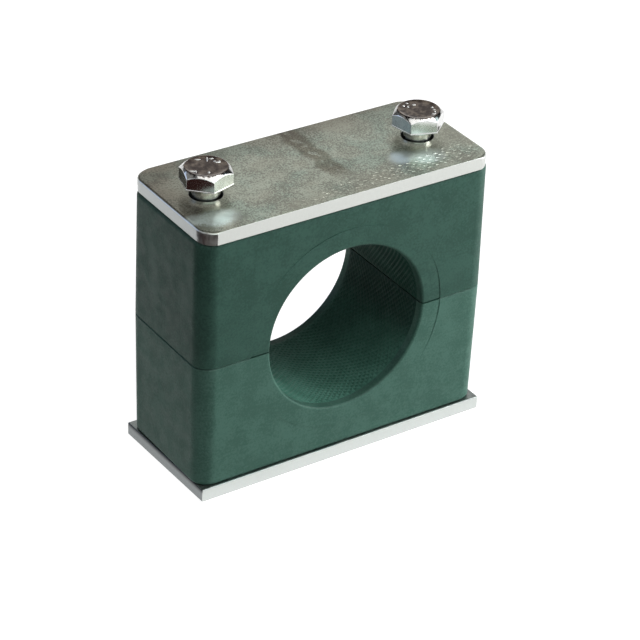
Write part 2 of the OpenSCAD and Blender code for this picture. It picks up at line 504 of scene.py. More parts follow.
@dataclass(frozen=True)
class ShearedZinc:
    """Zinc-plated sheet: a dull mottled face, bright sheared sides and duller ends.

    A face with handling marks also has grease and dull zones, and pools of painted light in front of the
    bolts.
    """

    name: str = "cover_zinc"
    dark: Colour = (0.262, 0.270, 0.222)
    light: Colour = (0.520, 0.560, 0.465)
    warm: Colour = (0.47, 0.450, 0.360)
    cool: Colour = (0.88, 0.98, 0.99)
    mottle: Noise = Noise(0.9, 4, 0.7)
    crystals: Noise = Noise(0.36, 2, 0.6)
    grain_weights: Span = (0.22, 0.78)
    clouds: Noise = Noise(6.0, 3, 0.55, distortion=0.3)
    tone_weights: Span = (0.26, 0.74)
    tone_span: Span = (0.43, 0.57)
    drift: Noise = Noise(9.0)
    fine_drift: Noise = Noise(0.7, 2, 0.6)
    drift_weights: Span = (0.8, 0.2)
    warm_span: Span = (0.50, 0.62)
    warm_share: float = 0.55
    warm_depth: float = 0.5
    cool_span: Span = (0.50, 0.38)
    cool_share: float = 0.80
    handled_with_painted_light: bool = True
    smudge: Smudge = Smudge()
    dull_tint: Colour = (0.50, 0.44, 0.42)
    dull_back_mm: Span = (6.0, 15.5)
    dull_left_mm: Span = (-20.0, -35.0)
    dull_front_mm: Span = (-8.5, -12.0)
    dull_front_from_mm: Span = (-14.0, -6.0)
    dull_weights: Triple = (0.66, 0.88, 0.16)
    # Painted light: the pools' colour, how the clouds break them up and how strongly they show; then the
    # pools in front of each bolt.
    painted_pool_colour: Colour = (0.80, 0.90, 0.86)
    painted_pool_span: Span = (0.25, 0.60)
    painted_pool_share: Span = (0.45, 0.85)
    painted_light_pools: tuple[PaintedLightPool, ...] = (
        PaintedLightPool(-29.0, -9.8, 5.4), PaintedLightPool(-33.4, -8.4, 3.4),
        PaintedLightPool(22.4, -8.8, 4.8), PaintedLightPool(17.4, -6.8, 4.0))
    edge_colour: Colour = (0.592, 0.608, 0.580)
    streaks: Noise = Noise(0.30, 3, 0.6, (1, 1, 0.15))
    streak_shade: float = 0.93
    streak_span: Span = (0.3, 0.75)
    end_dullness: float = 0.70
    end_tint: Colour = (1.0, 1.02, 1.06)
    end_span: Span = (0.75, 0.95)
    # Painted shade: the heights over which the ends darken towards their top, the part of the direction that
    # it covers, and its tint.
    painted_end_shade_heights: Span = (0.0, 0.0)
    painted_end_shade_span: Span = (0.35, 0.60)
    painted_end_shade_tint: Colour = (0.16, 0.16, 0.17)
    face_span: Span = (0.55, 0.85)
    face_roughness: Span = (0.41, 0.53)
    edge_roughness: Span = (0.30, 0.46)
    keen_roughness: float = 0.22
    keen_share: float = 0.40
    scratches: Noise = Noise(0.12, 2, 0.5, (0.03, 1, 1), (0, 0, 0.3))
    height_weights: Span = (0.6, 0.4)
    face_bump: Span = (0.015, 0.5)
    crystal_bump: Span = (0.008, 0.5)

    def dulled(self, g: Graph, x: Socket, y: Socket) -> Socket:
        """Where the face is dull: at the back, at the left end, and along the front from the middle on.

        Args:
            g: the material's graph.
            x: the place along the plate, in metres.
            y: the place across it, in metres.

        Returns:
            How dull it is, from 0 to 1.
        """
        back = g.ramp(y, *metres(self.dull_back_mm))
        left = g.ramp(x, *metres(self.dull_left_mm))
        from_middle = g.ramp(x, *metres(self.dull_front_from_mm))
        front = g.product(g.ramp(y, *metres(self.dull_front_mm)), from_middle)
        return g.weighted((back, left, front), self.dull_weights, clamp=True)

    def face(self, g: Graph, grain: Socket) -> Socket:
        """Colour of the flat faces: fine grain over soft clouds, with warm and cool patches.

        Args:
            g: the material's graph.
            grain: fine noise shared with the roughness.

        Returns:
            The colour.
        """
        clouds = g.noise(self.clouds)
        tone = g.weighted((clouds, grain), self.tone_weights)
        colour = g.mix(g.ramp(tone, *self.tone_span), self.dark, self.light)
        drift = g.weighted((g.noise(self.drift), g.noise(self.fine_drift)), self.drift_weights)
        warmer = g.mix(self.warm_depth, colour, self.warm)
        colour = g.mix(g.ramp(drift, *self.warm_span, 0.0, self.warm_share), colour, warmer)
        colour = g.tinted(g.ramp(drift, *self.cool_span, 0.0, self.cool_share), colour, self.cool)
        if not self.handled_with_painted_light:
            return colour
        x, y, _ = g.split(g.place())
        colour = g.tinted(self.smudge.mask(g, x, y), colour, self.smudge.tint)
        colour = g.tinted(self.dulled(g, x, y), colour, self.dull_tint)
        # Painted light: pools in front of the bolts, where their facets throw light.
        pool_patchiness = g.ramp(clouds, *self.painted_pool_span, *self.painted_pool_share)
        for spot in self.painted_light_pools:
            colour = g.mix(g.product(spot.mask(g, x, y, grain), pool_patchiness), colour, self.painted_pool_colour)
        return colour

    def sides(self, g: Graph, streaks: Socket, endways: Socket) -> Socket:
        """Colour of the sheared sides and ends, with the streaks that the shear leaves.

        Args:
            g: the material's graph.
            streaks: the streaks' noise, shared with the roughness.
            endways: how far the surface looks along the plate, from 0 to 1.

        Returns:
            The colour.
        """
        shaded = times(self.streak_shade, self.edge_colour)
        colour = g.mix(g.ramp(streaks, *self.streak_span), shaded, self.edge_colour)
        return g.tinted(g.ramp(endways, *self.end_span), colour, times(self.end_dullness, self.end_tint))

    def build(self) -> bpy.types.Material:
        """Builds the material.

        Returns:
            The material.
        """
        g = Graph(self.name)
        mottle = g.noise(self.mottle)
        crystals = g.noise(self.crystals)
        grain = g.weighted((mottle, crystals), self.grain_weights)
        streaks = g.noise(self.streaks)
        along, _, rise = g.split(g.normal())
        endways = g.maths("ABSOLUTE", along)
        on_face = g.ramp(g.maths("ABSOLUTE", rise), *self.face_span)
        colour = g.mix(on_face, self.sides(g, streaks, endways), self.face(g, grain))
        # Painted shade: the ends darker towards their top and over their broken top edge, which hides the
        # edge's highlight.
        if any(self.painted_end_shade_heights):
            upper = g.ramp(g.split(g.place())[2], *metres(self.painted_end_shade_heights))
            rolled = g.product(g.ramp(endways, *self.painted_end_shade_span), upper)
            colour = g.tinted(rolled, colour, self.painted_end_shade_tint)
        rough = g.blend(on_face, g.ramp(streaks, *BROAD, *self.edge_roughness),
                        g.ramp(grain, *NARROW, *self.face_roughness))
        height = g.weighted((mottle, g.noise(self.scratches)), self.height_weights)
        normal = g.bump(crystals, *self.crystal_bump, g.bump(height, *self.face_bump))
        soft, keen = (g.metal(colour, roughness, normal) for roughness in (rough, self.keen_roughness))
        return g.finish(g.node("MixShader", {0: self.keen_share, 1: soft, 2: keen}).outputs[0])


@dataclass(frozen=True)
class BoltZinc:
    """Bright zinc on forged steel, dull and stained on the crown, with faint tool marks."""

    name: str = "bolt_zinc_bright"
    dark: Colour = (0.58, 0.58, 0.57)
    light: Colour = (0.72, 0.73, 0.72)
    roughness: Span = (0.10, 0.22)
    clouds: Noise = Noise(1.6, 4, 0.6)
    fine: Noise = Noise(0.2, 3, 0.6)
    tone_weights: Span = (0.6, 0.4)
    stained: Colour = (0.042, 0.029, 0.024)
    stained_light: Colour = (0.185, 0.150, 0.120)
    stains: Noise = Noise(1.5, 5, 0.72)
    stain_span: Span = (0.40, 0.64)
    stain_reach_mm: float = 4.6
    stain_fade_mm: float = 0.15
    stain_edge: Noise = Noise(0.5, 3, 0.7)
    raggedness_mm: float = 1.4
    crown_span: Span = (0.55, 0.72)
    tool_rings: Noise = Noise(0.15, 2, 0.5, (0.4, 0.4, 1.0))
    height_weights: Span = (0.7, 0.3)
    height_bump: Span = (0.012, 0.4)

    def on_crown(self, g: Graph) -> Socket:
        """Where the crown is stained: near either bolt's axis, on what looks up.

        Args:
            g: the material's graph.

        Returns:
            How far the stain shows, from 0 to 1.
        """
        x, y, _ = g.split(g.place())
        off = g.maths("SUBTRACT", g.maths("ABSOLUTE", x), BOLT_PITCH / 2 * MM)
        away = g.maths("SQRT", g.squares(off, y))
        ragged = g.maths("ADD", away, g.swing(g.noise(self.stain_edge), self.raggedness_mm * MM))
        reach, fade = self.stain_reach_mm * MM, self.stain_fade_mm * MM
        near = g.ramp(ragged, reach + fade, reach - fade)
        return g.product(near, g.ramp(g.split(g.normal())[2], *self.crown_span))

    def build(self) -> bpy.types.Material:
        """Builds the material.

        Returns:
            The material.
        """
        g = Graph(self.name)
        clouds = g.noise(self.clouds)
        fine = g.noise(self.fine)
        tone = g.weighted((clouds, fine), self.tone_weights)
        colour = g.mix(g.ramp(tone, *NARROW), self.dark, self.light)
        stain = g.mix(g.ramp(g.noise(self.stains), *self.stain_span), self.stained, self.stained_light)
        colour = g.mix(self.on_crown(g), colour, stain)
        height = g.weighted((clouds, g.noise(self.tool_rings)), self.height_weights)
        rough = g.ramp(fine, *BROAD, *self.roughness)
        return g.finish(g.metal(colour, rough, g.bump(height, *self.height_bump)))


# What each piece wears: the lower half's colours are lighter, and the bores shine less.
UPPER_PLASTIC = MouldedPlastic()
# The bores carry no painted crest shade.
BORE_PLASTIC = replace(UPPER_PLASTIC, shine=0.06, painted_crest_shade=1.0)
HALF_PLASTICS = {
    Half.UPPER: UPPER_PLASTIC,
    # The lower half's faces that look to the front carry painted light.
    Half.LOWER: replace(UPPER_PLASTIC.lighter("moulded_green_lower", 1.28), painted_front_light=(1.45, 1.28, 1.31)),
}
# Painted shade and light: the upper bore is painted darker than its half and the lower bore lighter than its
# half; the lower one also has a painted shadow under the split.
BORE_PLASTICS = {
    Half.UPPER: BORE_PLASTIC.lighter("bore_green_upper", 0.9),
    Half.LOWER: replace(BORE_PLASTIC.lighter("bore_green_lower", 1.38), painted_shadow_mm=(20.5, 26.5)),
}
COVER_ZINC = ShearedZinc()
# The weld plate's face colours are darker than the cover's: partly its own tone, partly painted shade where
# the halves' foot shades its upper face.
WELD_ZINC = ShearedZinc(
    "weld_zinc", dark=(0.23, 0.255, 0.245), light=(0.35, 0.380, 0.365), warm=(0.32, 0.33, 0.31),
    handled_with_painted_light=False, edge_colour=(0.620, 0.652, 0.632), end_dullness=0.37, painted_end_shade_heights=(1.8, 2.95))
BOLT_ZINC = BoltZinc()
WORN_ZINC = BoltZinc("bolt_marks_worn", light=(0.85, 0.84, 0.82), stain_reach_mm=0.0)


@dataclass(frozen=True)
class PaleFloor:
    """A white studio sweep that keeps the shadow and shows white to the camera and in the metal."""

    name: str = "floor_white"
    albedo: float = 0.42
    lift: float = 0.945
    paper: Noise = Noise(40.0, 3)
    paper_shade: float = 0.985

    def build(self) -> bpy.types.Material:
        """Builds the material.

        Returns:
            The material.
        """
        g = Graph(self.name)
        paper = g.mix(g.noise(self.paper), (self.albedo,) * 3, (self.albedo * self.paper_shade,) * 3)
        rays = g.node("LightPath").outputs
        seen = g.maths("MAXIMUM", rays["Is Camera Ray"], rays["Is Glossy Ray"])
        seen = g.maths("MAXIMUM", seen, rays["Is Transmission Ray"])
        diffuse = g.node("BsdfDiffuse", {"Color": paper})
        glow = g.node("Emission", {"Color": (1.0, 1.0, 1.0), "Strength": g.product(seen, self.lift)})
        both = g.node("AddShader", {0: diffuse.outputs[0], 1: glow.outputs[0]})
        return g.finish(both.outputs[0])


@dataclass(frozen=True)
class CardPaint:
    """Matt paint on a studio card, or the glow of a reflector."""

    name: str
    colour: Colour
    glow: float = 0.0
    unevenness: Noise = Noise(30.0)
    uneven_shade: float = 0.9

    def build(self) -> bpy.types.Material:
        """Builds the material.

        Returns:
            The material.
        """
        g = Graph(self.name)
        tone = g.mix(g.noise(self.unevenness), self.colour, times(self.uneven_shade, self.colour))
        if self.glow:
            return g.finish(g.node("Emission", {"Color": tone, "Strength": self.glow}).outputs[0])
        return g.finish(g.node("BsdfDiffuse", {"Color": tone}).outputs[0])


# Meshes


def mesh_object(name: str, points: np.ndarray, faces: Sequence[Sequence[int]],
                smooth: bool) -> bpy.types.Object:
    """Makes an object from points and faces.

    Args:
        name: the piece's name.
        points: the points in metres, one row each.
        faces: the points of each face, in order.
        smooth: whether the faces are shaded smooth.

    Returns:
        The new object, linked to the scene.
    """
    mesh = bpy.data.meshes.new(name)
    mesh.from_pydata(points.tolist(), [], [list(f) for f in faces])
    mesh.validate()
    mesh.update()
    mesh.polygons.foreach_set("use_smooth", [smooth] * len(mesh.polygons))
    made = bpy.data.objects.new(name, mesh)
    bpy.context.scene.collection.objects.link(made)
    return made


def sharpen(piece: bpy.types.Object, degrees: float) -> None:
    """Keeps the edges of a smooth piece crisp where its faces meet at more than an angle."""
    piece.data.set_sharp_from_angle(angle=math.radians(degrees))


def keep_flat(piece: bpy.types.Object, weight: int = 100) -> None:
    """Keeps the shading of wide flat faces flat beside narrow rounded ones.

    Args:
        piece: the piece, or a CAD node, which gets a modifier alone.
        weight: how much the wide faces count, from 50 for as much as the narrow ones to 100.
    """
    weighted = piece.modifiers.new("flat_faces_stay_flat", "WEIGHTED_NORMAL")
    weighted.keep_sharp = True
    weighted.weight = weight


def paint(piece: bpy.types.Object, material: bpy.types.Material) -> None:
    """Gives a piece one material all over.

    Args:
        piece: the piece.
        material: the material.
    """
    if not piece.data.materials:
        piece.data.materials.append(material)
    for index in range(len(piece.data.materials)):
        piece.data.materials[index] = material


def facet_group(name: str, crease_degrees: float, merge_mm: float = 0.0005) -> bpy.types.NodeTree:
    """Makes the node group that joins a CAD node's facets and marks its creases.

    Args:
        name: the group's name.
        crease_degrees: faces that meet at more than this stay crisp.
        merge_mm: how near two points are joined, in millimetres.

    Returns:
        The node group.
    """
    group = bpy.data.node_groups.new(name, "GeometryNodeTree")
    for way in ("INPUT", "OUTPUT"):
        group.interface.new_socket("Geometry", in_out=way, socket_type="NodeSocketGeometry")
    add, link = group.nodes.new, group.links.new
    start, end = add("NodeGroupInput"), add("NodeGroupOutput")
    merge = add("GeometryNodeMergeByDistance")
    merge.inputs["Distance"].default_value = merge_mm * MM
    plain = add("GeometryNodeRemoveAttribute")
    plain.inputs["Name"].default_value = "custom_normal"
    soft = add("GeometryNodeSetShadeSmooth")
    angle = add("GeometryNodeInputMeshEdgeAngle")
    wide = add("FunctionNodeCompare")
    wide.inputs[1].default_value = math.radians(crease_degrees)
    crease = add("GeometryNodeSetShadeSmooth")
    crease.domain = "EDGE"
    crease.inputs["Shade Smooth"].default_value = False
    link(start.outputs[0], merge.inputs["Geometry"])
    link(merge.outputs[0], plain.inputs["Geometry"])
    link(plain.outputs[0], soft.inputs["Geometry"])
    link(soft.outputs[0], crease.inputs["Geometry"])
    link(angle.outputs["Unsigned Angle"], wide.inputs[0])
    link(wide.outputs[0], crease.inputs["Selection"])
    link(crease.outputs[0], end.inputs[0])
    return group


def even_shading(node: bpy.types.Object, crease_degrees: float = 30.0, bevel_mm: float = 0.0,
                 segments: int = 3) -> None:
    """Joins a CAD node's facets for shading with modifiers alone, and can break its edges.

    Args:
        node: the CAD node.
        crease_degrees: faces that meet at more than this stay crisp.
        bevel_mm: the width of the broken edge, or 0 for none.
        segments: the number of steps in the broken edge.
    """
    node.modifiers.new("facets", "NODES").node_group = facet_group(node.name + "_facets", crease_degrees)
    if bevel_mm:
        bevel = node.modifiers.new("broken_edges", "BEVEL")
        bevel.width = bevel_mm * MM
        bevel.segments = segments
        bevel.limit_method = "ANGLE"
        bevel.angle_limit = math.radians(crease_degrees)
        bevel.use_clamp_overlap = True
    keep_flat(node)


@dataclass
class RingStack:
    """A closed solid of rings about an upright axis, each ring with a point at each of the same angles."""

    angles: np.ndarray
    rings: list[np.ndarray] = field(default_factory=list)

    def add(self, radius: np.ndarray | float, height: np.ndarray | float) -> None:
        """Adds a ring, from the top down.

        Args:
            radius: its radius in millimetres, one number or one for each point.
            height: its height in millimetres, one number or one for each point.
        """
        radius = np.broadcast_to(radius, self.angles.shape)
        height = np.broadcast_to(height, self.angles.shape)
        self.rings.append(np.stack([radius * np.cos(self.angles), radius * np.sin(self.angles), height], 1))

    def solid(self, top: float, bottom: float) -> tuple[np.ndarray, Faces]:
        """Closes the stack at both ends.

        Args:
            top: the height of the middle of the upper end, in millimetres.
            bottom: the height of the middle of the lower end.

        Returns:
            The points in millimetres, and the faces.
        """
        n = len(self.angles)
        points = np.concatenate([*self.rings, [[0, 0, top], [0, 0, bottom]]])
        last = len(self.rings) - 1
        faces: Faces = []
        for k in range(n):
            after = (k + 1) % n
            faces.append((len(points) - 2, k, after))
            faces.append((len(points) - 1, last * n + after, last * n + k))
            for ring in range(last):
                a, b = ring * n, (ring + 1) * n
                faces.append((a + k, b + k, b + after, a + after))
        return points, faces


def within(spot: np.ndarray, ring: np.ndarray) -> bool:
    """Whether a point lies inside a closed outline.

    Args:
        spot: the point, as x and y.
        ring: the outline's points, one row each.

    Returns:
        True if it lies inside.
    """
    x, y = ring[:, 0] - spot[0], ring[:, 1] - spot[1]
    next_x, next_y = np.roll(x, -1), np.roll(y, -1)
    crosses = (y > 0) != (next_y > 0)
    with np.errstate(divide="ignore", invalid="ignore"):
        meets = x + (next_x - x) * (-y) / (next_y - y)
    return bool(np.count_nonzero(crosses & (meets > 0)) % 2)


@dataclass
class SheetMesh:
    """The points and faces of a sheet with holes and pits, in millimetres, as they are added."""

    points: list[list[float]] = field(default_factory=list)
    faces: Faces = field(default_factory=list)

    def band(self, rings: Sequence[tuple[np.ndarray, np.ndarray | float]], inward: bool) -> Loops:
        """Adds a band of rings from the top to the bottom.

        Args:
            rings: each ring's points as x and y, and their height, one number or one for each point.
            inward: whether the band looks into a hole.

        Returns:
            The first ring and the last one, as numbers of points.
        """
        made = []
        for flat, height in rings:
            tall = np.broadcast_to(height, len(flat))
            made.append(list(range(len(self.points), len(self.points) + len(flat))))
            self.points.extend([float(x), float(y), float(z)] for (x, y), z in zip(flat, tall))
        for upper, lower in zip(made, made[1:]):
            for k in range(len(upper)):
                n = (k + 1) % len(upper)
                quad = (upper[k], lower[k], lower[n], upper[n])
                self.faces.append(quad[::-1] if inward else quad)
        return made[0], made[-1]

    def pit(self, rings: np.ndarray, top: float, count: int) -> list[int]:
        """Adds a shallow pit with a flat floor.

        Args:
            rings: the points from the rim inwards, each with x, y and its depth.
            top: the height of the rim.
            count: the number of points in a ring.

        Returns:
            The pit's rim, as numbers of points.
        """
        base = len(self.points)
        self.points.extend([x, y, top - depth] for x, y, depth in rings.tolist())
        floor = base + len(rings) - count
        for level in range(base, floor, count):
            for k in range(count):
                n = (k + 1) % count
                self.faces.append((level + k, level + n, level + count + n, level + count + k))
        self.faces.append(tuple(floor + k for k in range(count)))
        return list(range(base, base + count))

    def cap(self, loops: Sequence[list[int]], up: int) -> None:
        """Fills the flat between an outer loop and the loops inside it.

        Args:
            loops: the outer loop first, then the loops of the holes and pits.
            up: 1 for a face that looks up, -1 for one that looks down.
        """
        order = [i for loop in loops for i in loop]
        place = {i: k for k, i in enumerate(order)}
        edges = [(place[i], place[after]) for loop in loops for i, after in zip(loop, loop[1:] + loop[:1])]
        flat = [Vector(self.points[i][:2]) for i in order]
        _, _, triangles, back, _, _ = geometry.delaunay_2d_cdt(flat, edges, [], 0, NEAR_MM)
        rings = [np.array([self.points[i][:2] for i in loop]) for loop in loops]
        middles = [(ring.mean(0), np.abs(ring - ring.mean(0)).max(0)) for ring in rings]
        for triangle in triangles:
            corners = [order[back[v][0]] for v in triangle]
            spot = np.mean([self.points[i][:2] for i in corners], 0)
            inside = [bool(np.all(np.abs(spot - middle) <= reach)) and within(spot, ring)
                      for ring, (middle, reach) in zip(rings, middles)]
            if not inside[0] or any(inside[1:]):
                continue
            a, b, c = (np.array(self.points[i][:2]) for i in corners)
            turn = (b[0] - a[0]) * (c[1] - a[1]) - (b[1] - a[1]) * (c[0] - a[0])
            self.faces.append(tuple(corners) if turn * up > 0 else tuple(corners[::-1]))


# The object's own pieces


@dataclass(frozen=True)
class RaisedMark:
    """A plain bar or dot on a bolt's crown, placed about the bolt's axis in degrees and millimetres."""

    around: float
    radius: float
    length: float
    width: float
    turn: float

    def ring(self, inset: float, least: Span, count: int) -> list[np.ndarray]:
        """Its oval outline, drawn in towards the middle.

        Args:
            inset: how far it is drawn in, in millimetres.
            least: the smallest half length and half width.
            count: the number of points.

        Returns:
            The points, as x and y about the bolt's axis.
        """
        around, turn = math.radians(self.around), math.radians(self.turn)
        spot = self.radius * np.array([math.cos(around), math.sin(around)])
        along = np.array([math.cos(turn), math.sin(turn)])
        across = np.array([-along[1], along[0]])
        long = max(self.length / 2 - inset, least[0])
        wide = max(self.width / 2 - inset, least[1])
        turns = [k * 2 * math.pi / count for k in range(count)]
        return [spot + along * math.cos(a) * long + across * math.sin(a) * wide for a in turns]


LEFT_MARKS = (
    RaisedMark(92.0, 3.35, 1.25, 0.42, -34.0), RaisedMark(56.0, 3.10, 1.70, 0.46, 62.0),
    RaisedMark(44.0, 3.35, 0.80, 0.40, -30.0), RaisedMark(39.0, 3.60, 0.50, 0.44, 20.0),
    RaisedMark(18.0, 2.75, 1.00, 0.50, -70.0), RaisedMark(6.0, 2.95, 1.10, 0.46, -20.0),
    RaisedMark(10.0, 3.45, 0.55, 0.45, 40.0), RaisedMark(187.0, 3.55, 1.50, 0.50, -30.0),
    RaisedMark(196.0, 3.05, 0.80, 0.46, 60.0), RaisedMark(251.0, 2.60, 0.70, 0.50, 30.0),
)
RIGHT_MARKS = (
    RaisedMark(121.0, 3.45, 0.85, 0.52, 20.0), RaisedMark(99.0, 3.65, 0.75, 0.46, -40.0),
    RaisedMark(119.0, 2.50, 0.80, 0.50, 30.0), RaisedMark(81.0, 2.35, 0.80, 0.50, -20.0),
    RaisedMark(-10.0, 3.15, 0.70, 0.44, 10.0), RaisedMark(-30.0, 3.20, 0.60, 0.44, -50.0),
    RaisedMark(-44.0, 3.50, 0.80, 0.40, 40.0), RaisedMark(-61.0, 3.70, 1.30, 0.50, -20.0),
)


@dataclass
class HexBolt:
    """A hexagon bolt: dished crown with raised marks, chamfer, flared foot, washer face and thread.

    The dish's profile gives shares of the crown's radius and of the dish's depth, the foot's gives
    a share of the flare, an inset and a height, and the others give two distances.
    """

    node: str
    body: Body
    axis_x: float
    turn_degrees: float
    marks: tuple[RaisedMark, ...]
    across_flats: float = 9.88
    head_height: float = 4.0
    washer_height: float = 0.5
    washer_radius: float = 4.45
    washer_profile: tuple[Span, ...] = ((0.10, 0.0), (0.0, -0.08))
    washer_edge: Span = (0.06, 0.05)
    crown_radius: float = 4.5
    crown_slope: float = 42.0
    crown_edge: float = 0.03
    crown_drop: float = 0.02
    rounding: float = 0.05
    dish: float = 0.17
    dish_profile: tuple[Span, ...] = (
        (0.3, 1.0), (0.6, 0.97), (0.78, 0.90), (0.86, 0.70), (0.92, 0.25), (0.955, 0.02))
    chamfer_steps: Triple = (0.35, 0.7, 1.0)
    shoulder_profile: tuple[Span, ...] = ((0.012, 0.055), (0.0, 0.12))
    corner_radius: float = 0.16
    flat_points: int = 9
    corner_points: int = 5
    flare: float = 0.09
    foot_profile: tuple[Triple, ...] = (
        (0.0, 0.0, 0.34), (0.35, 0.0, 0.22), (1.0, 0.0, 0.09), (1.0, 0.02, 0.02), (1.0, 0.12, 0.0))
    fillet_profile: tuple[Span, ...] = (
        (0.85, 0.0), (0.55, 0.10), (0.36, 0.30), (0.20, 0.65), (0.08, 1.10), (0.0, 1.60))
    shank_radius: float = 3.0
    root_radius: float = 2.45
    thread_length: float = 18.0
    thread_fade: float = 1.5
    pitch: float = 1.0
    rows_a_turn: int = 8
    ridge_slope: float = 2.5
    ridge_cut: float = 0.1
    tip: float = 0.8
    tip_share: float = 0.6
    mark_height: float = 0.13
    mark_profile: tuple[Span, ...] = ((-0.3, 0.0), (0.12, 0.0), (0.55, 0.045), (0.88, 0.11), (1.0, 0.17))
    mark_least: Span = (0.02, 0.015)
    mark_points: int = 12
    crease_degrees: float = 50.0

    def flat_end(self) -> float:
        """The angle from the middle of a flat to where its corner begins to round, in radians."""
        half = self.across_flats / 2
        return math.atan((half - self.corner_radius) * math.tan(SIDE / 2) / half)

    def angles(self) -> np.ndarray:
        """The angles of each ring's points: close together at the hexagon's corners, even along its flats.

        Returns:
            The angles in radians.
        """
        end = self.flat_end()
        along = np.linspace(-end, end, self.flat_points)
        around = np.linspace(end, SIDE - end, self.corner_points)[1:-1]
        one_side = np.concatenate([along, around]) + SIDE / 2
        return np.concatenate([one_side + k * SIDE for k in range(6)]) + math.radians(self.turn_degrees)

    def outline(self, angles: np.ndarray) -> np.ndarray:
        """The hexagon with rounded corners.

        Args:
            angles: where to read it, in radians.

        Returns:
            Its radius at each angle, in millimetres.
        """
        half = self.across_flats / 2
        aside = np.mod(angles - math.radians(self.turn_degrees), SIDE) - SIDE / 2
        centre = (half - self.corner_radius) / math.cos(SIDE / 2)
        off = SIDE / 2 - np.abs(aside)
        inside = np.maximum(self.corner_radius ** 2 - (centre * np.sin(off)) ** 2, 0.0)
        corner = centre * np.cos(off) + np.sqrt(inside)
        return np.where(np.abs(aside) <= self.flat_end() + SLACK, half / np.cos(aside), corner)

    def head(self, stack: RingStack, seat: float) -> None:
        """Adds the head's rings, from the crown down to the washer face.

        Args:
            stack: the rings so far.
            seat: the height of the washer face, in millimetres.
        """
        top = seat + self.head_height
        slope = math.tan(math.radians(self.crown_slope))
        outer = self.outline(stack.angles)
        for share, dip in self.dish_profile:
            stack.add(self.crown_radius * share, top - dip * self.dish)
        stack.add(self.crown_radius - self.rounding, top)
        inner = self.crown_radius + self.crown_edge
        stack.add(inner, top - self.rounding)
        rim = outer - self.rounding
        for share in self.chamfer_steps:
            radius = inner + (rim - inner) * share
            stack.add(radius, top - (radius - self.crown_radius) * slope - self.crown_drop)
        shoulder = top - (rim - self.crown_radius) * slope - self.crown_drop
        for inset, drop in self.shoulder_profile:
            stack.add(outer - inset, shoulder - drop)
        low = seat + self.washer_height
        for share, inset, rise in self.foot_profile:
            stack.add(outer + self.flare * share - inset, low + rise)
        for wider, rise in self.washer_profile:
            stack.add(self.washer_radius + wider, low + rise)
        inset, rise = self.washer_edge
        stack.add(self.washer_radius, seat + rise)
        stack.add(self.washer_radius - inset, seat)

    def shank(self, stack: RingStack, seat: float, end: float) -> None:
        """Adds the shank's rings, with the thread's ridges winding down to the tip.

        Args:
            stack: the rings so far.
            seat: the height of the washer face, in millimetres.
            end: the height of the bolt's tip, in millimetres.
        """
        for wider, drop in self.fillet_profile:
            stack.add(self.shank_radius + wider, seat - drop)
        thread_top = end + self.thread_length
        stack.add(self.shank_radius, thread_top + self.pitch)
        rows = int(self.thread_length / self.pitch * self.rows_a_turn)
        depth = self.shank_radius - self.root_radius
        for height in np.linspace(thread_top, end + self.tip * self.tip_share, rows):
            phase = np.mod(height / self.pitch - stack.angles / (2 * math.pi), 1.0)
            ridge = np.clip(np.abs(phase - 0.5) * self.ridge_slope - self.ridge_cut, 0, 1)
            fade = min(1.0, (thread_top - height) / (self.thread_fade * self.pitch))
            radius = self.shank_radius - depth * (1 - ridge) * fade
            chamfer = self.shank_radius - self.tip + max(0.0, height - end)
            stack.add(np.minimum(radius, chamfer), height)
        stack.add(self.shank_radius - self.tip, end)

    def raised(self, floor: float) -> tuple[np.ndarray, Faces]:
        """The small raised marks on the crown.

        Args:
            floor: the height of the dished crown's floor, in millimetres.

        Returns:
            Their points in millimetres about the bolt's axis, and their faces.
        """
        points, faces = [], []
        count = self.mark_points
        last = len(self.mark_profile) - 1
        for mark in self.marks:
            start = len(points)
            for level, inset in self.mark_profile:
                points.extend([x, y, floor + level * self.mark_height]
                              for x, y in mark.ring(inset, self.mark_least, count))
            for ring in range(last):
                for k in range(count):
                    a, b = start + ring * count, start + (ring + 1) * count
                    faces.append((a + k, a + (k + 1) % count, b + (k + 1) % count, b + k))
            faces.append(tuple(start + last * count + k for k in range(count)))
            faces.append(tuple(start + count - 1 - k for k in range(count)))
        return np.array(points), faces

    def build(self, finish: bpy.types.Material, worn: bpy.types.Material) -> list[bpy.types.Object]:
        """Builds the bolt in place of its CAD node, and the raised marks on its crown.

        Args:
            finish: the bolt's material.
            worn: the material of the marks, rubbed bright.

        Returns:
            The new pieces.
        """
        low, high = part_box(self.node)
        seat, end = high.z / MM - self.head_height, low.z / MM
        stack = RingStack(self.angles())
        self.head(stack, seat)
        self.shank(stack, seat, end)
        points, faces = stack.solid(high.z / MM - self.dish, end)
        points[:, 0] += self.axis_x
        piece = mesh_object(self.node + "_forged", points * MM, faces, True)
        keep_flat(piece)
        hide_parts(self.node)
        points, faces = self.raised(high.z / MM - self.dish)
        points[:, 0] += self.axis_x
        marks = mesh_object(self.node + "_marks", points * MM, faces, True)
        for made, material in ((piece, finish), (marks, worn)):
            sharpen(made, self.crease_degrees)
            paint(made, material)
            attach(made, self.body.value)
        return [piece, marks]


LEFT_BOLT = HexBolt("left_bolt", Body.BOLT_LEFT, -BOLT_PITCH / 2, turn_degrees=15.6, marks=LEFT_MARKS)
RIGHT_BOLT = HexBolt("right_bolt", Body.BOLT_RIGHT, BOLT_PITCH / 2, turn_degrees=39.7, marks=RIGHT_MARKS)


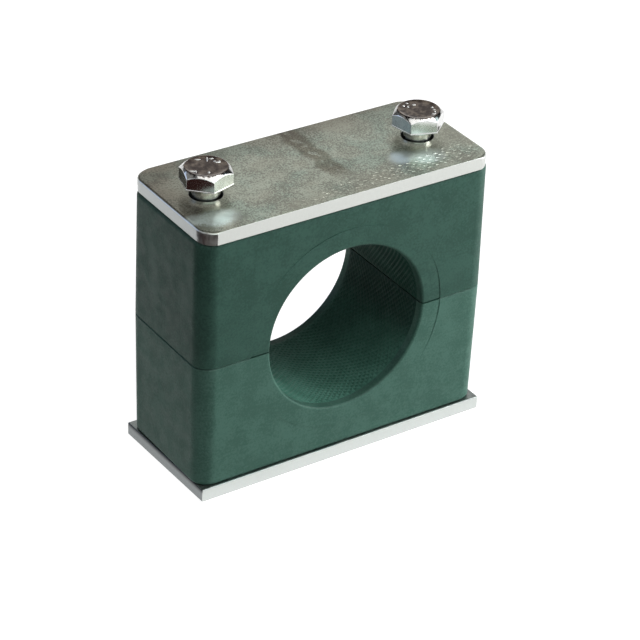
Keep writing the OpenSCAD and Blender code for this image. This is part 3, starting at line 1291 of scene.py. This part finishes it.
@dataclass
class BoreLining:
    """The fine crossing ribs that are moulded into each half's bore, with a plain margin at each mouth."""

    bore_radius: float = 19.05
    ring_span: float = 29.5
    margin: float = 2.0
    split_gap: float = 0.25
    step: float = 0.75
    step_along: float = 0.62
    rib_height: float = 0.15
    proud: float = 0.008
    skin: float = 0.25
    middle_z: float = 32.0

    def points(self, half: Half, angles: np.ndarray, depth: np.ndarray) -> np.ndarray:
        """The lining's points: each second one of the inner sheet stands on a rib.

        Args:
            half: the half that carries it.
            angles: the angles around the bore, in radians.
            depth: the places along the bore, in millimetres.

        Returns:
            The inner sheet's points and then the outer one's, in millimetres.
        """
        i, j = np.indices((len(angles), len(depth)))
        border = (i == 0) | (i == len(angles) - 1) | (j == 0) | (j == len(depth) - 1)
        rib = ((i + j) % 2 == 0) & ~border
        inner = self.bore_radius - self.proud - np.where(rib, self.rib_height, 0.0)
        outer = np.full_like(inner, self.bore_radius + self.skin)
        sheets = []
        for radius in (inner, outer):
            x = radius * np.cos(angles)[:, None]
            z = self.middle_z + half.value * radius * np.sin(angles)[:, None]
            sheets.append(np.stack([x, np.broadcast_to(depth, x.shape), z], 2).reshape(-1, 3))
        return np.concatenate(sheets)

    @staticmethod
    def faces(half: Half, around: int, along: int) -> Faces:
        """The lining's faces: the ribbed sheet, the sheet behind it, and the rims that join them.

        Args:
            half: the half that carries it.
            around: the number of steps around the bore.
            along: the number of steps along the bore.

        Returns:
            The faces.
        """
        row = along + 1
        back = (around + 1) * row
        faces: Faces = []
        for i in range(around):
            for j in range(along):
                a, b, c, d = i * row + j, i * row + j + 1, (i + 1) * row + j + 1, (i + 1) * row + j
                faces.extend([(a, b, c), (a, c, d)] if (i + j) % 2 == 0 else [(a, b, d), (b, c, d)])
                faces.append((back + a, back + d, back + c, back + b))
        for j in range(along):
            e = around * row + j
            faces.append((j + 1, j, back + j, back + j + 1))
            faces.append((e, e + 1, back + e + 1, back + e))
        for i in range(around):
            a, d = i * row, (i + 1) * row
            b, c = a + along, d + along
            faces.append((a, d, back + d, back + a))
            faces.append((c, b, back + b, back + c))
        return faces if half is Half.UPPER else [corners[::-1] for corners in faces]

    def build(self, half: Half, finish: bpy.types.Material) -> bpy.types.Object:
        """Builds the ribs of one half.

        Args:
            half: the half that carries them.
            finish: the half's material.

        Returns:
            The new piece.
        """
        start = self.split_gap / self.bore_radius
        length = self.ring_span - 2 * self.margin
        around = 2 * round((math.pi - 2 * start) * self.bore_radius / self.step / 2)
        along = 2 * round(length / self.step_along / 2)
        angles = np.linspace(start, math.pi - start, around + 1)
        depth = np.linspace(-0.5, 0.5, along + 1) * length
        piece = mesh_object("bore_ribs_" + half.name.lower(), self.points(half, angles, depth) * MM,
                            self.faces(half, around, along), False)
        paint(piece, finish)
        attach(piece, Body.TOP.value if half is Half.UPPER else Body.BASE.value)
        return piece


@dataclass
class PlateOutline:
    """A plate's outline as it is drawn, anticlockwise from the left of the front edge.

    Beside each point stand its outward direction and how far it belongs to an end, from 0 to 1.
    """

    corner: float
    end_reach: float
    points: list[Span] = field(default_factory=list)
    outward: list[Span] = field(default_factory=list)
    share: list[float] = field(default_factory=list)

    def straight(self, a: Span, b: Span, outward: Span, along_end: bool, count: int) -> None:
        """Draws a straight edge, without its two ends.

        Args:
            a: where it begins.
            b: where it ends.
            outward: the way that it looks.
            along_end: whether it is a short end of the plate.
            count: the number of steps.
        """
        for k in range(1, count):
            t = k / count
            self.points.append((a[0] + (b[0] - a[0]) * t, a[1] + (b[1] - a[1]) * t))
            self.outward.append(outward)
            near = min(t, 1 - t) * math.dist(a, b)
            self.share.append(1.0 if along_end else max(0.0, 1.0 - near / self.end_reach) ** 2)

    def arc(self, x: float, y: float, first: float, last: float, count: int = 14) -> None:
        """Draws a round corner with both its ends.

        Args:
            x: the place of its centre along the plate.
            y: the place of its centre across the plate.
            first: the angle where it begins, in degrees.
            last: the angle where it ends, in degrees.
            count: the number of steps.
        """
        for k in range(count + 1):
            a = math.radians(first + (last - first) * k / count)
            self.points.append((x + self.corner * math.cos(a), y + self.corner * math.sin(a)))
            self.outward.append((math.cos(a), math.sin(a)))
            self.share.append(1.0)


@dataclass
class CoverPlate:
    """The cover plate: a sheared strip with punched round ends, two punched holes and rows of roller dents.

    A roll is how far an edge turns in and down, at the ends more than along the sides. Each row
    of dents runs between two places along the plate, from the front row to the back one.
    """

    node: str = "cover_plate"
    corner: float = 4.25
    punch_past: float = 0.25
    side_steps: int = 60
    end_steps: int = 14
    end_reach: float = 1.6
    end_roll: Span = (0.75, 0.55)
    side_roll: Span = (0.12, 0.10)
    roll_steps: int = 7
    shear_drop: Span = (0.25, 0.45)
    shear_band: float = 0.12
    shear_inset: float = 0.035
    burr: float = 0.08
    hole_radius: float = 3.5
    hole_roll: Span = (0.30, 0.25)
    hole_break: Span = (0.12, 0.15)
    hole_points: int = 72
    dent_depth: float = 0.095
    dent_length: float = 1.10
    dent_width: float = 0.44
    dent_profile: tuple[Span, ...] = ((1.0, 0.0), (0.55, 0.78), (0.10, 1.0))
    dent_points: int = 10
    dent_pitch: float = 2.0
    dent_drift: Span = (0.06, 0.05)
    dent_sizes: Span = (0.70, 1.0)
    dent_gaps: float = 0.12
    dent_seed: int = 7
    row_step: float = 0.86
    first_row: float = -14.1
    slant_degrees: float = -20.0
    clear_corner: Span = (30.0, -10.6)
    clear_corner_reach: float = 3.3
    clear_hole: float = 5.6
    crease_degrees: float = 17.0
    rows: tuple[Span, ...] = (
        (-6.5, 28.0), (-9.0, 31.6), (-10.5, 33.2), (-6.0, 33.6),
        (0.0, 33.8), (8.0, 33.8), (20.5, 33.6), (26.0, 31.5))

    def outline(self, length: float, width: float) -> PlateOutline:
        """Draws the plate's outline.

        Args:
            length: the plate's length in millimetres.
            width: its width.

        Returns:
            The outline.
        """
        drawn = PlateOutline(self.corner, self.end_reach)
        sweep = math.degrees(math.asin((self.corner - self.punch_past) / self.corner))
        cx, cy = length / 2 - self.corner, width / 2 + self.punch_past - self.corner
        break_x = cx + self.corner * math.cos(math.radians(sweep))
        half = width / 2
        drawn.straight((-break_x, -half), (break_x, -half), (0, -1), False, self.side_steps)
        drawn.arc(cx, -cy, -sweep, 0)
        drawn.straight((length / 2, -cy), (length / 2, cy), (1, 0), True, self.end_steps)
        drawn.arc(cx, cy, 0, sweep)
        drawn.straight((break_x, half), (-break_x, half), (0, 1), False, self.side_steps)
        drawn.arc(-cx, cy, 180 - sweep, 180)
        drawn.straight((-length / 2, cy), (-length / 2, -cy), (-1, 0), True, self.end_steps)
        drawn.arc(-cx, -cy, 180, 180 + sweep)
        return drawn

    def side(self, sheet: SheetMesh, drawn: PlateOutline, top: float, bottom: float) -> Loops:
        """Adds the rolled upper edge, the sheared side and the burr under it.

        Args:
            sheet: the plate so far.
            drawn: its outline.
            top: the height of its upper face, in millimetres.
            bottom: the height of its lower face.

        Returns:
            The rims of the upper and the lower face.
        """
        edge, outward, share = (np.array(part) for part in (drawn.points, drawn.outward, drawn.share))
        wide = self.side_roll[0] + (self.end_roll[0] - self.side_roll[0]) * share
        deep = self.side_roll[1] + (self.end_roll[1] - self.side_roll[1]) * share
        rings = [(edge - outward * (wide * (1 - math.sin(t)))[:, None], top - deep * (1 - math.cos(t)))
                 for t in self.roll_turns()]
        middle = (top + bottom) / 2
        torn = edge - outward * self.shear_inset
        rings.append((edge, middle - self.shear_drop[0] * share))
        rings.append((torn, middle - self.shear_drop[1] * share - self.shear_band))
        rings.append((torn, bottom + self.burr))
        rings.append((edge - outward * (self.shear_inset + self.burr), bottom))
        return sheet.band(rings, False)

    def roll_turns(self) -> np.ndarray:
        """The steps of a rolled edge, as angles in radians."""
        return np.linspace(0, math.pi / 2, self.roll_steps)

    def hole(self, sheet: SheetMesh, middle_x: float, top: float, bottom: float) -> Loops:
        """Adds a punched hole with a rolled upper edge and a broken lower one.

        Args:
            sheet: the plate so far.
            middle_x: the place of the hole along the plate, in millimetres.
            top: the height of the plate's upper face.
            bottom: the height of its lower face.

        Returns:
            The hole's rims in the upper and the lower face.
        """
        turns = np.arange(self.hole_points) * 2 * math.pi / self.hole_points
        ring = np.stack([np.cos(turns), np.sin(turns)], 1)
        middle = np.array([middle_x, 0.0])
        roll_wide, roll_deep = self.hole_roll
        break_wide, break_deep = self.hole_break
        bands = [(middle + ring * (self.hole_radius + roll_wide * (1 - math.sin(t))),
                  top - roll_deep * (1 - math.cos(t))) for t in self.roll_turns()]
        bands.append((middle + ring * self.hole_radius, bottom + break_deep))
        bands.append((middle + ring * (self.hole_radius + break_wide), bottom))
        return sheet.band(bands, True)

    def dent(self, middle: np.ndarray, size: float) -> np.ndarray:
        """One long dent with round ends.

        Args:
            middle: the place of its middle, in millimetres.
            size: its size against the full one.

        Returns:
            Its points from the rim inwards, each with x, y and its depth.
        """
        slant = math.radians(self.slant_degrees)
        along = np.array([math.cos(slant), math.sin(slant)])
        across = np.array([-along[1], along[0]])
        at_one_end = self.dent_points // 2
        stem = (self.dent_length - self.dent_width) / 2
        points = []
        for reach, depth in self.dent_profile:
            radius = reach * self.dent_width / 2
            for k in range(self.dent_points):
                end, step = divmod(k, at_one_end)
                a = math.pi * (end - 0.5 + step / (at_one_end - 1))
                off = along * (stem * (1 - 2 * end) + radius * math.cos(a)) + across * radius * math.sin(a)
                points.append([*(middle + size * off), depth * self.dent_depth * size])
        return np.array(points)

    def dents(self) -> list[np.ndarray]:
        """The rows of dents, clear of the corners and the right hole, with small chance differences.

        Returns:
            Each dent's points.
        """
        chance = np.random.default_rng(self.dent_seed)
        corner_x, corner_y = self.clear_corner
        found = []
        for row, (x_from, x_to) in enumerate(self.rows):
            y = self.first_row + row * self.row_step
            x = x_from + (0.5 * self.dent_pitch if row % 2 else 0.0)
            while x < x_to:
                middle = np.array([x, y]) + [chance.normal(0, drift) for drift in self.dent_drift]
                size = chance.uniform(*self.dent_sizes)
                kept = chance.uniform() > self.dent_gaps
                past_corner = math.hypot(max(0.0, abs(x) - corner_x), max(0.0, corner_y - y))
                past_hole = math.hypot(x - BOLT_PITCH / 2, y)
                if kept and past_corner <= self.clear_corner_reach and past_hole > self.clear_hole:
                    found.append(self.dent(middle, size))
                x += self.dent_pitch
        return found

    def build(self, finish: bpy.types.Material) -> bpy.types.Object:
        """Builds the plate in place of its CAD node.

        Args:
            finish: the plate's material.

        Returns:
            The new piece.
        """
        low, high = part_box(self.node)
        top, bottom = high.z / MM, low.z / MM
        sheet = SheetMesh()
        drawn = self.outline((high.x - low.x) / MM, (high.y - low.y) / MM)
        walls = [self.side(sheet, drawn, top, bottom)]
        walls.extend(self.hole(sheet, way * BOLT_PITCH / 2, top, bottom) for way in (-1, 1))
        pits = [sheet.pit(dent, top, self.dent_points) for dent in self.dents()]
        sheet.cap([rim for rim, _ in walls] + pits, 1)
        sheet.cap([foot for _, foot in walls], -1)
        piece = mesh_object(self.node + "_sheet", np.array(sheet.points) * MM, sheet.faces, True)
        sharpen(piece, self.crease_degrees)
        keep_flat(piece)
        paint(piece, finish)
        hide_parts(self.node)
        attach(piece, Body.TOP.value)
        return piece


@dataclass
class ClampStack:
    """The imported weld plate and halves, which keep their CAD shapes and get their finishes."""

    nodes: dict[str, bpy.types.Object]
    weld_bevel_mm: float = 0.24

    def dress(self, plastics: dict[Half, bpy.types.Material], weld: bpy.types.Material) -> None:
        """Gives each node its material, its even shading and its broken edges.

        Args:
            plastics: the finish of each half.
            weld: the finish of the weld plate.
        """
        for half, plastic in plastics.items():
            name = half.name.lower() + "_half"
            paint(self.nodes[name], plastic)
            even_shading(self.nodes[name])
        paint(self.nodes["weld_plate"], weld)
        even_shading(self.nodes["weld_plate"], bevel_mm=self.weld_bevel_mm)


# Studio


AIM = Vector((0, 0, 0.035))


def direction(azimuth: float, elevation: float) -> Vector:
    """The way to a place in the studio; azimuth 0 is +X and 90 is +Y."""
    a, e = math.radians(azimuth), math.radians(elevation)
    return Vector((math.cos(e) * math.cos(a), math.cos(e) * math.sin(a), math.sin(e)))


@dataclass(frozen=True)
class PhotoCamera:
    """The photograph's viewpoint, in millimetres and degrees."""

    eye: Triple = (-255.73, -378.65, 307.76)
    aim: Triple = (0.34, -3.98, 27.98)
    lens: float = 140.82
    sensor: float = 36.0
    roll: float = 2.331
    clip: Span = (10.0, 50000.0)

    def build(self) -> bpy.types.Object:
        """Makes the camera and makes it the scene's own.

        Returns:
            The camera.
        """
        data = bpy.data.cameras.new("photo_camera")
        data.lens = self.lens
        data.sensor_width = self.sensor
        data.clip_start, data.clip_end = metres(self.clip)
        camera = bpy.data.objects.new("photo_camera", data)
        bpy.context.scene.collection.objects.link(camera)
        eye, aim = Vector(self.eye) * MM, Vector(self.aim) * MM
        level = (aim - eye).to_track_quat("-Z", "Y")
        camera.rotation_mode = "QUATERNION"
        camera.rotation_quaternion = level @ Quaternion((0, 0, 1), math.radians(self.roll))
        camera.location = eye
        bpy.context.scene.camera = camera
        return camera


@dataclass(frozen=True)
class SoftBox:
    """One rectangular soft light that points at the object; its brightness is what a mirror would show."""

    name: str
    azimuth: float
    elevation: float
    distance: float
    size: Span
    brightness: float
    colour: Colour = (1.0, 1.0, 1.0)

    def build(self) -> bpy.types.Object:
        """Makes the light.

        Returns:
            The light.
        """
        data = bpy.data.lights.new(self.name, "AREA")
        data.shape = "RECTANGLE"
        data.size, data.size_y = self.size
        data.energy = self.brightness * math.pi * self.size[0] * self.size[1]
        data.color = self.colour
        lamp = bpy.data.objects.new(self.name, data)
        bpy.context.scene.collection.objects.link(lamp)
        lamp.location = direction(self.azimuth, self.elevation) * self.distance + AIM
        lamp.rotation_mode = "QUATERNION"
        lamp.rotation_quaternion = (AIM - lamp.location).to_track_quat("-Z", "Y")
        return lamp


@dataclass(frozen=True)
class Card:
    """A studio card that the metal reflects and the camera doesn't see; a reflector if it glows."""

    name: str
    azimuth: float
    elevation: float
    distance: float
    width: float
    height: float
    colour: Colour
    glow: float = 0.0

    def build(self) -> bpy.types.Object:
        """Makes the card, facing the object.

        Returns:
            The card.
        """
        out = direction(self.azimuth, self.elevation)
        side = direction(self.azimuth + 90.0, 0.0)
        rise = out.cross(side)
        middle = out * self.distance + AIM
        corners = [middle + side * s * self.width / 2 + rise * t * self.height / 2 for s, t in CORNERS]
        card = mesh_object(self.name, np.array([list(c) for c in corners]), [(0, 1, 2, 3)], False)
        paint(card, CardPaint(self.name + "_paint", self.colour, self.glow).build())
        card.visible_camera = card.visible_shadow = card.visible_diffuse = False
        return card


@dataclass
class Studio:
    """The floor with a wall around it, the soft lights and the cards; sizes in metres."""

    floor_reach: float = 4.0
    floor_level: float = -0.00002
    wall_share: float = 0.95
    wall_height: float = 0.9
    wall_sides: int = 48
    sky: Colour = (0.015, 0.0155, 0.0155)
    lights: tuple[SoftBox, ...] = (
        SoftBox("high_front_right", 318.0, 55.0, 0.60, (0.30, 0.30), 3.3),
        SoftBox("high_front", 273.0, 57.0, 0.60, (0.17, 0.17), 3.1),
        SoftBox("low_front_right", 332.0, 14.0, 0.38, (0.20, 0.20), 6.6),
        SoftBox("over_front", 244.0, 62.0, 0.60, (0.36, 0.36), 0.75, (1.0, 0.985, 0.97)),
        SoftBox("left_low", 178.0, 32.0, 0.60, (0.30, 0.30), 0.6, (0.90, 0.97, 1.0)),
        SoftBox("back", 100.0, 30.0, 0.60, (0.30, 0.30), 0.08),
        SoftBox("back_wall", 56.0, 34.0, 0.85, (0.70, 0.70), 0.755),
    )
    cards: tuple[Card, ...] = (
        Card("window_card", 254.0, 32.0, 0.88, 1.14, 0.30, (0.86, 1.0, 0.97), 1.85),
        Card("window_right_card", 318.0, 32.0, 0.88, 0.88, 0.30, (0.80, 0.97, 1.0), 1.3),
        Card("over_card", 232.0, 64.0, 0.58, 0.52, 0.36, (1.0, 0.985, 0.97), 1.6),
        Card("sky_card", 134.0, 22.0, 0.88, 0.44, 0.36, (0.60, 0.73, 1.0), 1.45),
        Card("left_high_card", 144.0, 44.0, 0.88, 0.56, 0.30, (1.0, 0.97, 0.93), 0.26),
        Card("low_card", 226.0, -3.5, 0.092, 0.13, 0.057, (0.05, 0.020, 0.018)),
        Card("low_left_card", 184.0, -3.5, 0.088, 0.10, 0.057, (0.05, 0.020, 0.018)),
    )

    def sweep(self) -> list[bpy.types.Object]:
        """Makes the floor and the wall around it.

        Returns:
            The two pieces.
        """
        reach, radius, count = self.floor_reach, self.wall_share * self.floor_reach, self.wall_sides
        corners = [(x * reach, y * reach, self.floor_level) for x, y in CORNERS]
        ring = [(radius * math.cos(k * math.tau / count), radius * math.sin(k * math.tau / count))
                for k in range(count)]
        rims = [(x, y, z) for z in (0.0, self.wall_height) for x, y in ring]
        panels = [(k, (k + 1) % count, count + (k + 1) % count, count + k) for k in range(count)]
        return [mesh_object("floor", np.array(corners), [(0, 1, 2, 3)], False),
                mesh_object("backdrop", np.array(rims), panels, False)]

    def build(self) -> None:
        """Sets the stage and the render's colour handling."""
        paper = PaleFloor().build()
        for sheet in self.sweep():
            paint(sheet, paper)
        for part in (*self.lights, *self.cards):
            part.build()
        world = bpy.data.worlds.new("studio")
        world.use_nodes = True
        world.node_tree.nodes["Background"].inputs["Color"].default_value = (*self.sky, 1.0)
        bpy.context.scene.world = world
        bpy.context.scene.view_settings.view_transform = "Standard"


def report(piece: bpy.types.Object) -> None:
    """Reports a finished piece."""
    LOG.info("%s: %d faces", piece.name, len(piece.data.polygons))


def main() -> None:
    """Builds the pieces in order and reports each one."""
    logging.basicConfig(level=logging.INFO, format="%(message)s")
    PhotoCamera().build()
    Studio().build()
    plastics = {half: plastic.build() for half, plastic in HALF_PLASTICS.items()}
    ClampStack(frame["nodes"]).dress(plastics, WELD_ZINC.build())
    LOG.info("weld plate and halves dressed")
    for half in Half:
        report(BoreLining().build(half, BORE_PLASTICS[half].build()))
    report(CoverPlate().build(COVER_ZINC.build()))
    zinc, worn = BOLT_ZINC.build(), WORN_ZINC.build()
    for bolt in (LEFT_BOLT, RIGHT_BOLT):
        for piece in bolt.build(zinc, worn):
            report(piece)


if __name__ == "__main__":
    main()
